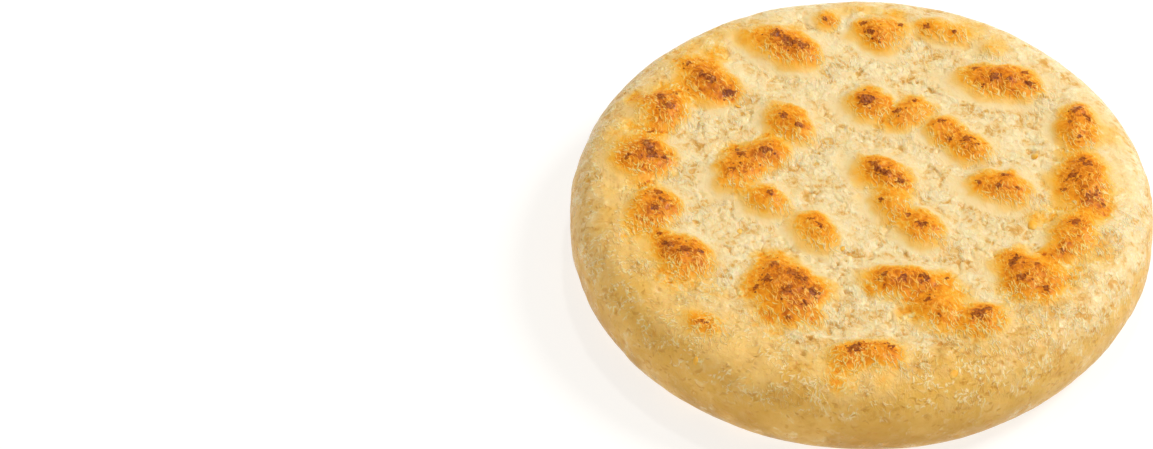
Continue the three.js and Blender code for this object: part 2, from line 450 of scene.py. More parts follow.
# Noises of the skin: the size of a lump and the seed.
WIDE_BULGE, SMALL_BULGE = (14, 1), (6, 2)
WIDE_LIFT, SMALL_LIFT = (7, 3), (3.6, 4)
WANDER_ACROSS, WANDER_ALONG = (6, 20), (6, 30)
FRAY_ACROSS, FRAY_ALONG = (2.2, 25), (2.2, 35)
CRUMB_PLATES, CRACKED_PATCHES = (3.0, 40), (5, 50)
SOFT_CRUMB, CRUMB_PITS = (2.8, 60), (1.5, 70)
FOOT_PITS, FOOT_STRETCHES = (1.1, 80), (4.5, 85)
KNOBS, FINE_KNOBS, RIM_KNOBS = (2.4, 90), (1.1, 95), (2.0, 97)
WALL_GRAIN, WALL_DENTS = (3.2, 120), (2.0, 130)
STRAND_PATCHES = (5, 210)
UNDERSIDE_LUMPS = (4, 420)

# Ways in plan that a blister's flank can face.
FRONT_LEFT, FRONT_RIGHT, FRONT = (-1, -1), (0.5, -1), (0.3, -1)


def blister_heights(points, flank):
    """Height of the blisters in millimetres, and as a share of the nearest one's rise."""
    total, share = np.zeros(len(points)), np.zeros(len(points))
    for blister in BLISTERS:
        out = blister.how_far_out(points) / SKIRT
        inside = np.maximum(0, 1 - out**2) ** flank
        total += (blister.rise * inside) ** 3
        share = np.maximum(share, inside)
    return np.cbrt(total), share


class NearestBlister:
    """What the blister that is nearest to each point says about it.

    out is how far out the point lies in its ellipse, lead how much farther the next blister is, and facing
    the way its flank faces there, in plan.
    """

    def __init__(self, points):
        self.out, second = np.full(len(points), FAR), np.full(len(points), FAR)
        self.facing = np.zeros((len(points), 2))
        for blister in BLISTERS:
            out = blister.how_far_out(points)
            closer = out < self.out
            ahead, aside = blister.axes()
            away = points[:, :2] - (blister.x, blister.y)
            slope = ((away @ ahead)[:, None] * ahead / blister.length**2
                     + (away @ aside)[:, None] * aside / blister.width**2)
            slope /= np.linalg.norm(slope, axis=1)[:, None] + 1e-9
            self.facing[closer] = slope[closer]
            second = np.where(closer, self.out, np.minimum(second, out))
            self.out = np.minimum(self.out, out)
        self.lead = second - self.out

    def side(self, way):
        """How much the flank faces a way in plan, from -1 to 1."""
        return self.facing @ np.array(way) / math.hypot(*way)


def browning(points):
    """How brown the griddle made each point, from 0 to 1, with some painted shade where the browning runs
    out on the blisters' front left flanks. Between close blisters it adds up.
    """
    pale = np.ones(len(points))
    for blister in BLISTERS:
        away = points[:, :2] - (blister.x, blister.y)
        away /= np.linalg.norm(away, axis=1).clip(1e-6)[:, None]
        back = away @ FAR_SIDE
        out = blister.how_far_out(points - BROWN_AND_SHADE_SHIFT)
        # the browning fades later on the front left side of a blister, partly painted shade
        pale *= 1 - 0.72 * blister.brown * (1 - smoothstep(out, 0.25 + 0.25 * back, 1.03 - 0.13 * back))
    for x, y, radius, depth in TOASTED_PLACES:
        out = np.hypot(points[:, 0] - x, points[:, 1] - y) / radius
        pale *= 1 - 0.8 * depth * (1 - smoothstep(out, 0.0, 1.1))
    for x, y, radius in CHAR_SPOTS:
        away = np.hypot(points[:, 0] - x, points[:, 1] - y) / (radius + 0.8)
        pale *= 1 - 0.45 * np.exp(-0.8 * away**2)
    return 1 - pale


def charring(points):
    """How charred each point is: 1 in the middle of a lone spot, and more where spots crowd."""
    total = np.zeros(len(points))
    for x, y, radius in CHAR_SPOTS:
        away = np.hypot(points[:, 0] - x, points[:, 1] - y) / radius
        total += np.exp(-1.3 * away**2)
    return total


def outline_waves(around):
    """How far the outline stands out at an angle round the cake, in millimetres."""
    return sum(height * np.sin(waves * around + turn) for height, waves, turn in OUTLINE_WAVES)


def press(ball, cake):
    """Where the points of a ball of unit size lie on the plain cake, in millimetres."""
    half, edge = cake.thickness / MM / 2, cake.edge / MM
    plateau = cake.diameter / MM / 2 - edge
    under_share = 1 - TOP_SHARE - WALL_SHARE
    share = (1 - ball[:, 2]) / 2
    angle = np.clip((share - TOP_SHARE) / WALL_SHARE, 0, 1) * math.pi
    power = 2 / cake.edge_fullness
    on_wall = plateau + edge * np.abs(np.sin(angle)) ** power
    on_top = plateau * np.sqrt(share / TOP_SHARE)
    underneath = plateau * np.sqrt(np.clip((1 - share) / under_share, 0, 1))
    radius = np.where(share < TOP_SHARE, on_top, np.where(share > 1 - under_share, underneath, on_wall))
    height = half * (1 + np.sign(np.cos(angle)) * np.abs(np.cos(angle)) ** power)
    around = np.arctan2(ball[:, 1], ball[:, 0])
    return np.stack([radius * np.cos(around), radius * np.sin(around), height], -1)


def unrolled(plain, full):
    """Places on the skin in plan: how far over the skin the nearer face's middle is, in that direction."""
    radius = np.hypot(plain[:, 0], plain[:, 1])
    order = np.argsort(-plain[:, 2] * 1000 + np.where(plain[:, 2] > full / 2, radius, -radius))
    r, z = radius[order], plain[order, 2]
    run = np.concatenate([[0], np.cumsum(np.hypot(np.diff(r), np.diff(z)))])
    over = np.empty(len(plain))
    over[order] = run + r[0]
    whole = run[-1] + r[0] + r[-1]
    return plain[:, :2] / radius.clip(1e-6)[:, None] * np.minimum(over, whole - over)[:, None]


class Skin:
    """The points of the plain cake's skin, in millimetres, and what lies at each.

    flat is a point's place in plan. wander and fray are offsets that make outlines uneven. blisters is the
    height of the blisters, and rise the same as a share of the nearest one's. waxy is where a flank is
    smooth, and valley where crumb shows.
    """

    def __init__(self, ball, cake):
        self.plain = press(ball, cake)
        self.full = cake.thickness / MM
        self.radius = np.hypot(self.plain[:, 0], self.plain[:, 1])
        self.around = np.arctan2(self.plain[:, 1], self.plain[:, 0])
        self.on_wall = np.sin(math.pi * self.plain[:, 2] / self.full)
        self.facing_up = smoothstep(self.plain[:, 2], self.full * 0.72, self.full * 0.98)
        self.facing_down = 1 - smoothstep(self.plain[:, 2], 0, self.full * 0.12)

        bulge = outline_waves(self.around) + self.on_wall * (
            0.3 * lumps(self.plain, *WIDE_BULGE) + 0.15 * lumps(self.plain, *SMALL_BULGE))
        self.points = self.plain.copy()
        self.points[:, :2] *= (1 + bulge / (cake.diameter / MM / 2))[:, None]

        self.flat = self.points * (1, 1, 0)
        self.wander = offsets(self.flat, WANDER_ACROSS, WANDER_ALONG)
        self.fray = offsets(self.flat, FRAY_ACROSS, FRAY_ALONG)
        self.blisters, self.rise = blister_heights(self.moved(0.9, 0.15), cake.blister_flank)
        self.nearest = NearestBlister(self.flat + self.wander * 0.9)
        self.browned = browning(self.moved(1.3, 0.5))
        self.charred = charring(self.moved(0.3, 0.5))
        self.waxy = self.waxy_flanks()
        self.valley = (1 - smoothstep(self.rise, 0.0, 0.35)) * (1 - 0.8 * self.waxy)

    def moved(self, wander, fray):
        """The places in plan, moved by shares of the uneven offsets."""
        return self.flat + self.wander * wander + self.fray * fray

    def waxy_flanks(self):
        """Where a flank is smooth: where it faces the front left, and less where it faces the back right."""
        out, front_side = self.nearest.out, self.nearest.side(FRONT_LEFT)
        skirt = smoothstep(out, 0.65, 0.85) * (1 - smoothstep(out, 1.1, 1.4))
        waxy = np.maximum(smoothstep(front_side, 0.2, 0.8), 0.45 * smoothstep(-front_side, 0.4, 0.9))
        alone = smoothstep(self.nearest.lead, 0.0, 0.3)
        return waxy * (skirt * alone * (1 - 0.85 * smoothstep(-self.points[:, 1], 16, 28)))

    def foot_pits(self):
        """A broken chain of pits along the front left foot of each blister."""
        out, front_side = self.nearest.out, self.nearest.side(FRONT_LEFT)
        foot = smoothstep(out, 1.12, 1.22) * (1 - smoothstep(out, 1.28, 1.42))
        chain = foot * smoothstep(front_side, 0.1, 0.6) * smoothstep(lumps(self.flat, *FOOT_PITS), 0.15, 0.5)
        return chain * smoothstep(lumps(self.flat, *FOOT_STRETCHES), -0.1, 0.4)

    def crumb(self, depth):
        """Relief of the top in millimetres, and how deep in a crevice each point lies, from 0 to 1.

        Soft plates with cracks and pits lie between the blisters, and knobs on the blisters and the rim.
        """
        near, second, own = cells(self.moved(0.9, 0.4), *CRUMB_PLATES)
        gap = 1 - smoothstep(second - near, 0.0, 0.14)
        cracked = smoothstep(lumps(self.flat, *CRACKED_PATCHES), -0.1, 0.5)
        pits = smoothstep(lumps(self.flat, *CRUMB_PITS), 0.56, 0.8)
        chain = self.foot_pits()
        knobs = fractal(self.flat, *KNOBS)
        plates = 0.24 * fractal(self.flat, *SOFT_CRUMB, 2) + (own - 0.5) * 0.25 - gap * depth * cracked
        crumb = self.valley * (plates - pits * 0.4) - chain * 0.4
        rim_knobs = 0.3 * fractal(self.flat, *RIM_KNOBS) * smoothstep(self.radius, 40, 46)
        crumb += rim_knobs * (1 - smoothstep(self.rise, 0.1, 0.5))
        crumb += (smoothstep(self.rise, 0.35, 0.8) * (1 - 0.6 * self.waxy) * 0.28 * knobs
                  + 0.05 * fractal(self.flat, *FINE_KNOBS, 2))
        crumb += np.minimum(self.charred, 1.2) * (0.12 + 0.2 * knobs)
        return crumb, np.clip(self.valley * (0.8 * gap * cracked + pits) + chain, 0, 1)

    def rim_gold_and_shade(self, points):
        """How much the rim is as golden as the wall, partly toasted and partly painted shade: most at the
        front left, away from the key light, and less at the far left.
        """
        front_left = smoothstep(
            (-0.6 * points[:, 0] - 0.8 * points[:, 1]) / self.radius.clip(1), -0.6, 0.7)
        gold = 0.9 * front_left * smoothstep(self.radius + 1.5 * self.wander[:, 0], 35, 49)
        return gold * (1 - 0.3 * smoothstep(-points[:, 0], 40, 52))

    def strandy(self, points):
        """How full of strands each point is: most on the blisters' fronts and on the front of the rim."""
        height, out = points[:, 2], self.nearest.out
        before = smoothstep(self.nearest.side(FRONT), 0.0, 0.5) * (1 - smoothstep(out, 1.4, 2.0))
        strandy = (1 - 0.85 * self.waxy) * (0.1 + 0.9 * smoothstep(height, 9, 16))
        strandy *= 1 - 0.6 * self.valley * (1 - before)
        on_rim = smoothstep(self.radius, 40, 46) * (1 - smoothstep(self.rise, 0.1, 0.5))
        patches = smoothstep(lumps(points, *STRAND_PATCHES), -0.2, 0.4)
        strandy *= 1 - 0.6 * on_rim * (1 - patches)
        # more strands on the front half of the rim; the colours give their ridges painted glints
        strandy += 0.7 * on_rim * smoothstep(-points[:, 1], -30, 20) * patches * smoothstep(height, 10, 14)
        front = self.nearest.side(FRONT_RIGHT)
        strandy *= 1 - 0.5 * smoothstep(self.rise, 0.1, 0.4) * (1 - smoothstep(front, -0.4, 0.4))
        flank = smoothstep(front, 0.0, 0.6) * smoothstep(out, 0.4, 0.7)
        return strandy * (1 + 0.5 * flank * (1 - smoothstep(out, 1.0, 1.3)) * (1 - self.waxy))


def shape_cake(ball, cake):
    """The whole form of the cake, in millimetres, and the masks that its material reads."""
    skin = Skin(ball, cake)
    plateau = cake.diameter / MM / 2 - cake.edge / MM
    floor = cake.dish / MM * (smoothstep(skin.radius, cake.dish_start / MM, plateau) - 1)
    lift = (floor + 0.3 * lumps(skin.flat, *WIDE_LIFT)
            + 0.2 * lumps(skin.flat, *SMALL_LIFT) * (1 - 0.5 * skin.waxy))
    crumb, crevice = skin.crumb(cake.crumb_depth / MM)
    crumbly = skin.facing_up * (1 - 0.6 * smoothstep(skin.radius, 44, 50))
    points = skin.points.copy()
    points[:, 2] += skin.facing_up * (lift + skin.blisters) + crumbly * crumb

    # the wall has a fine grain with dents, and the underside is slightly uneven
    outward = np.stack([np.cos(skin.around), np.sin(skin.around), np.zeros(len(points))], -1)
    dents = smoothstep(lumps(skin.plain * (1, 1, 1.8), *WALL_DENTS), 0.5, 0.8)
    grain = 0.16 * fractal(skin.plain, *WALL_GRAIN) - 0.15 * dents
    points += outward * (grain * skin.on_wall * (1 - skin.facing_up))[:, None]
    uneven = 1 + np.clip(fractal(skin.flat, *UNDERSIDE_LUMPS), -1, 1)
    points[:, 2] += skin.facing_down * 0.12 * uneven

    height, full = skin.plain[:, 2], skin.full
    # the wall colour also covers the golden rim, which is partly painted shade at the front left
    wall = np.maximum(1 - smoothstep(height, full * 0.6, full * 0.97), skin.rim_gold_and_shade(points))
    # low is the lower wall, taken in more on the left; the material darkens the crust there as painted
    # shade, where the key light from the right reaches least
    low = (1 - skin.facing_down) * (1 - smoothstep(height, full * 0.22, full * 0.78))
    skin_x, skin_y = unrolled(skin.plain, full).T
    return points, {
        "browned": skin.browned * skin.facing_up,
        "charred": skin.charred * skin.facing_up,
        "rise": skin.rise * skin.facing_up,
        "crevice": crumbly * crevice + 0.8 * dents * skin.on_wall * (1 - skin.facing_up),
        "waxy": skin.waxy * skin.facing_up,
        "wall": wall * (1 - 0.7 * skin.facing_down),
        "low": low * (1 - 0.5 * smoothstep(points[:, 0], 5, 45)),
        "underside": skin.facing_down,
        "strandy": skin.strandy(points),
        "tint": np.full(len(points), 0.5),
        "skin_x": skin_x,
        "skin_y": skin_y,
    }


# ---------------------------------------------------------------- loose strands

# Ranges of the strands' sizes in millimetres, and of how their masks follow the skin's.
STRAND_LENGTH, STRAND_WIDTH, STRAND_HEIGHT = (0.6, 1.4), (0.24, 0.34), (0.16, 0.24)
STRAND_HUMP, STRAND_SINK = (0.0, 0.03), (0.05, 0.1)
STRAND_BROWN, STRAND_CHAR, STRAND_TINT = (0.7, 1.0), (0.2, 0.9), (0.5, 0.85)
# Their heading's mean and spread, and the spreads of their bend and tilt, in radians.
STRAND_HEADING, STRAND_HEADING_SPREAD, STRAND_BEND, STRAND_TILT = 2.0, 0.6, 1.0, 0.03
BARELY = 1e-6  # leaves every face some chance, so that there is always one to choose


class Spots:
    """Random places on the fronts of the blisters, with the normals and masks there."""

    def __init__(self, mesh, count, rng):
        corners = np.empty(len(mesh.loops), np.int32)
        mesh.loops.foreach_get("vertex_index", corners)
        corners = corners.reshape(-1, 3)
        points, ups = vertex_vectors(mesh, "co"), vertex_vectors(mesh, "normal")
        masks = {name: vertex_mask(mesh, name) for name in MASKS}
        a, b, c = (points[corners[:, i]] for i in range(3))
        area = np.linalg.norm(np.cross(b - a, c - a), axis=1)
        weight = self.likely(ups, masks)[corners].mean(axis=1) * area
        chosen = corners[rng.choice(len(corners), count, p=weight / weight.sum())]
        u, v = np.sqrt(rng.random(count)), rng.random(count)
        shares = np.stack([1 - u, u * (1 - v), u * v], -1)[..., None]
        self.places = (points[chosen] * shares).sum(axis=1)
        self.ups = (ups[chosen] * shares).sum(axis=1)
        self.ups /= np.linalg.norm(self.ups, axis=1)[:, None]
        self.masks = {name: (values[chosen] * shares[..., 0]).sum(axis=1) for name, values in masks.items()}

    def likely(self, ups, masks):
        """How likely a strand is at each vertex."""
        front = 0.06 + smoothstep(-ups[:, 1], 0.0, 0.3)
        clear = (1 - masks["underside"]) * (1 - smoothstep(masks["charred"], 0.2, 0.5))
        return smoothstep(masks["rise"], 0.02, 0.3) * (clear * (1 - 0.7 * masks["waxy"])) * front + BARELY


def lay_strands(tree, prototype, spots, heading, length, width, height, bend, tilt, hump, sink):
    """The vertices of copies of a prototype, whose long side is its Z, laid along the skin at the spots.

    Sizes are in metres and angles in radians, one for each spot. The heading is measured from the level
    line through the spot. A strand bends sideways by bend from end to end, is tilted by tilt, stands up by
    hump in its middle and lies sink deep in the skin.
    """
    shape = vertex_vectors(prototype, "co")
    levels, level = np.unique(np.round(shape[:, 2], 3), return_inverse=True)
    u = levels[None] / 2
    away = np.cross((0.0, 0.0, 1.0), spots.ups + (0.0, 1e-6, 0.0))
    away /= np.linalg.norm(away, axis=1)[:, None]
    beside = np.cross(spots.ups, away)
    ahead = away * np.cos(heading)[:, None] + beside * np.sin(heading)[:, None]
    side = np.cross(spots.ups, ahead)
    turn = np.where(np.abs(bend) < 1e-3, 1e-3, bend)[:, None]
    forward = (np.sin(turn * u) / turn * length[:, None])[..., None]
    sideways = ((1 - np.cos(turn * u)) / turn * length[:, None])[..., None]
    centres = spots.places[:, None] + forward * ahead[:, None] + sideways * side[:, None]
    on_skin = [tree.find_nearest(place)[0] for place in centres.reshape(-1, 3)]
    centres = np.array(on_skin).reshape(centres.shape)
    ring = (np.cos(turn * u)[..., None] * side[:, None] - np.sin(turn * u)[..., None] * ahead[:, None])
    lift = hump[:, None] * (1 - (2 * u) ** 2) - sink[:, None] + np.tan(tilt)[:, None] * u * length[:, None]
    points = centres[:, level] + ring[:, level] * (shape[:, 0] / 2 * width[:, None])[..., None]
    points += spots.ups[:, None] * (shape[:, 1] / 2 * height[:, None] + lift[:, level])[..., None]
    return points


# ---------------------------------------------------------------- materials


def new_group(name, inputs, outputs):
    """An empty shader node group with named sockets.

    An input is (name, default), and a vector's default is None. An output is (name, kind).
    """
    group = bpy.data.node_groups.new(name, "ShaderNodeTree")
    for label, default in inputs:
        kind = "NodeSocketVector" if default is None else "NodeSocketFloat"
        socket = group.interface.new_socket(label, in_out="INPUT", socket_type=kind)
        if default is not None:
            socket.default_value = default
    for label, kind in outputs:
        group.interface.new_socket(label, in_out="OUTPUT", socket_type=kind)
    return group


class Graph:
    """Adds nodes to a tree and links them. A value is a number, a vector, a colour or a node's socket."""

    def __init__(self, tree):
        self.tree = tree

    def add(self, kind, inputs=None, **settings):
        node = self.tree.nodes.new(kind)
        for key, value in settings.items():
            setattr(node, key, value)
        for key, value in (inputs or {}).items():
            self.feed(node.inputs[key], value)
        return node

    def feed(self, socket, value):
        if isinstance(value, bpy.types.NodeSocket):
            self.tree.links.new(value, socket)
        else:
            socket.default_value = value

    def math(self, operation, a, b=0.0):
        return self.add("ShaderNodeMath", {0: a, 1: b}, operation=operation).outputs[0]

    def plus(self, a, b):
        return self.math("ADD", a, b)

    def minus(self, a, b):
        return self.math("SUBTRACT", a, b)

    def times(self, first, *others):
        for other in others:
            first = self.math("MULTIPLY", first, other)
        return first

    def highest(self, a, b):
        return self.math("MAXIMUM", a, b)

    def centred(self, value):
        """A value from 0 to 1, moved to lie round 0."""
        return self.minus(value, 0.5)

    def vector(self, operation, *values):
        return self.add("ShaderNodeVectorMath", dict(enumerate(values)), operation=operation).outputs[0]

    def turned(self, vector, angle):
        """A vector turned about Z."""
        return self.add("ShaderNodeVectorRotate", {"Vector": vector, "Angle": angle},
                        rotation_type="Z_AXIS").outputs[0]

    def parts(self, kind, whole):
        """The three parts of a colour or a vector."""
        return self.add(f"ShaderNodeSeparate{kind}", {0: whole}).outputs

    def noise(self, vector, scale, detail=2.0, roughness=0.5, distortion=0.0):
        node = self.add("ShaderNodeTexNoise", {
            "Vector": vector, "Scale": scale, "Detail": detail, "Roughness": roughness,
            "Distortion": distortion})
        return node.outputs["Fac"]

    def plan_cells(self, vector, size):
        """Random cells of a size, in plan."""
        return self.add("ShaderNodeTexVoronoi", {"Vector": vector, "Scale": 1 / size},
                        voronoi_dimensions="2D").outputs

    def span(self, value, low, high, to_low=0.0, to_high=1.0):
        """A smooth change from to_low to to_high as a value goes from low to high."""
        return self.add("ShaderNodeMapRange", {
            "Value": value, "From Min": low, "From Max": high, "To Min": to_low, "To Max": to_high},
            interpolation_type="SMOOTHSTEP").outputs["Result"]

    def mix(self, factor, a, b, blend="MIX"):
        node = self.add("ShaderNodeMix", data_type="RGBA", blend_type=blend)
        for place, value in ((0, factor), (6, a), (7, b)):
            self.feed(node.inputs[place], value)
        return node.outputs[2]

    def ramp(self, factor, stops):
        node = self.add("ShaderNodeValToRGB", {"Fac": factor})
        elements = node.color_ramp.elements
        while len(elements) < len(stops):
            elements.new(0.5)
        for element, (place, colour) in zip(elements, stops):
            element.position = place
            element.color = (*colour, 1)
        return node.outputs["Color"]

    def mask(self, name):
        return self.add("ShaderNodeAttribute", attribute_name=name).outputs["Fac"]


class Strokes(NamedTuple):
    """A layer of short bent strokes, one in a share of random cells, in millimetres and degrees."""

    shift: float  # moves the cells, so that no two layers agree
    size: float  # of a cell, across its stroke
    turn: float  # the strokes' heading
    spread: float  # of single strokes' headings
    length: float
    width: float
    share: float
    slim: float = 1.0  # how many times as long as wide a cell is, along the heading


THICK_THREADS = Strokes(70.3, 1.3, -55, 70, 3.0, 0.5, 0.5, 2.2)
THREADS = (
    Strokes(0.0, 0.8, -60, 36, 2.4, 0.26, 0.5, 2.5),
    Strokes(13.7, 0.7, -40, 44, 1.9, 0.22, 0.4, 2.2),
    Strokes(27.1, 0.9, -80, 36, 2.6, 0.28, 0.5, 2.5),
    Strokes(41.3, 0.6, -100, 60, 1.6, 0.22, 0.25, 2.2),
)
WALL_DASHES = (Strokes(5.5, 3.0, 0, 80, 2.2, 0.7, 0.45), Strokes(8.5, 1.6, 10, 90, 1.0, 0.42, 0.45))
# Dabs on the rim and upper wall: bumps whose pale tops the colours turn into painted glints.
RIM_GLINT_DABS = (
    Strokes(91.0, 0.9, -35, 90, 1.6, 0.48, 0.65, 1.6),
    Strokes(97.0, 0.8, -60, 110, 1.3, 0.42, 0.6, 1.5),
)
SPECK_MARKS = Strokes(55.9, 1.5, -40, 160, 1.0, 0.46, 0.3)
CHIP_SIZES = (1.7, 0.8)
BAND_RADIUS = 55.0  # where a millimetre round the cake is a millimetre on the wall's band


def strokes(g, base, layer):
    """A layer of strokes: 1 along the middle of a stroke and 0 beside it."""
    ahead = g.turned(base, math.radians(-layer.turn))
    shift = (layer.shift, 0.7 * layer.shift, 0.0)
    place = g.vector("MULTIPLY_ADD", ahead, (1 / layer.slim, 1.0, 1.0), shift)
    cell = g.plan_cells(place, layer.size)
    away = g.vector("SUBTRACT", place, cell["Position"])
    away = g.vector("MULTIPLY", away, (layer.slim, 1.0, 1.0))
    random = g.parts("Color", cell["Color"])
    angle = g.times(g.centred(random[0]), math.radians(layer.spread))
    turned = g.parts("XYZ", g.turned(away, angle))
    square = g.times(turned["X"], turned["X"])
    arch = g.times(g.centred(random[1]), 1.6, square)
    across = g.times(g.plus(turned["Y"], arch), 2 / layer.width)
    out = g.plus(g.times(across, across), g.times(square, (2 / layer.length) ** 2))
    kept = g.span(random[2], 1 - layer.share, 1.02 - layer.share)
    return g.times(g.span(out, 1.2, 0.0), g.times(kept, g.span(random[2], 0.0, 1.0, 0.6, 1.0)))


def chips(g, base, size):
    """Uneven plates of a size with crisp edges, from -0.5 to 0.5."""
    return g.centred(g.parts("Color", g.plan_cells(base, size)["Color"])[0])


def wrinkle_group():
    """The group of the skin's fine relief.

    Vector is a place in millimetres and Skin a place on the unrolled skin. Relief goes from about -1 in pits
    to 1 on ridges, Mark is scattered short marks, and Fleck is the wall's dashes.
    """
    group = new_group(
        "Fine wrinkles",
        [("Vector", None), ("Skin", None), ("Rise", 0.0), ("Strandy", 0.0), ("Waxy", 0.0), ("Wall", 0.0),
         ("Low", 0.0)],
        [("Relief", "NodeSocketFloat"), ("Mark", "NodeSocketFloat"), ("Fleck", "NodeSocketFloat")])
    g = Graph(group)
    given = g.add("NodeGroupInput").outputs
    place = given["Vector"]

    # bent is the unrolled skin with a slow bend, and band the same round and over the edge
    bend = g.add("ShaderNodeTexNoise", {"Vector": given["Skin"], "Scale": 0.8, "Detail": 1.0})
    bent = g.vector("MULTIPLY_ADD", bend.outputs["Color"], (0.7, 0.7, 0.0), given["Skin"])
    plan = g.parts("XYZ", bent)
    over = g.math("SQRT", g.plus(g.times(plan["X"], plan["X"]), g.times(plan["Y"], plan["Y"])))
    round_it = g.times(g.math("ARCTAN2", plan["Y"], plan["X"]), BAND_RADIUS)
    band = g.add("ShaderNodeCombineXYZ", {0: round_it, 1: over}).outputs[0]

    threads = g.times(strokes(g, bent, THICK_THREADS), 0.8)
    for layer in THREADS:
        threads = g.highest(threads, strokes(g, bent, layer))
    threads = g.times(g.minus(threads, 0.3), given["Strandy"])

    large, small = (chips(g, bent, size) for size in CHIP_SIZES)
    plates = g.centred(g.span(g.noise(place, 0.32, 2.0, 0.5, 0.6), 0.42, 0.58))
    plates = g.plus(plates, g.plus(large, g.times(small, 0.7)))
    plates = g.times(plates, g.span(given["Rise"], 0.05, 0.4, 0.9, 0.0))
    grain = g.times(g.centred(g.noise(place, 1.1, 1.0, 0.5, 0.3)), 1.8)
    crumb = g.times(g.plus(plates, grain), g.span(given["Waxy"], 0.0, 1.0, 1.0, 0.2))
    crumb = g.times(crumb, g.span(given["Wall"], 0.3, 1.0, 1.0, 0.5))

    # the dabs' pale tops are painted glints
    rim = g.times(g.span(given["Wall"], 0.05, 0.4), g.span(given["Low"], 0.12, 0.0))
    rim = g.times(rim, g.span(g.noise(place, 0.25, 1.0), 0.44, 0.58))
    glint_dabs = g.times(g.highest(*(strokes(g, band, layer) for layer in RIM_GLINT_DABS)), rim)
    dashes = g.highest(*(strokes(g, band, layer) for layer in WALL_DASHES))
    dashes = g.times(dashes, g.span(given["Wall"], 0.0, 0.4))

    relief = g.minus(g.plus(g.plus(threads, glint_dabs), crumb), g.times(dashes, 0.4))
    out = g.add("NodeGroupOutput")
    group.links.new(relief, out.inputs["Relief"])
    group.links.new(strokes(g, bent, SPECK_MARKS), out.inputs["Mark"])
    group.links.new(dashes, out.inputs["Fleck"])
    return group


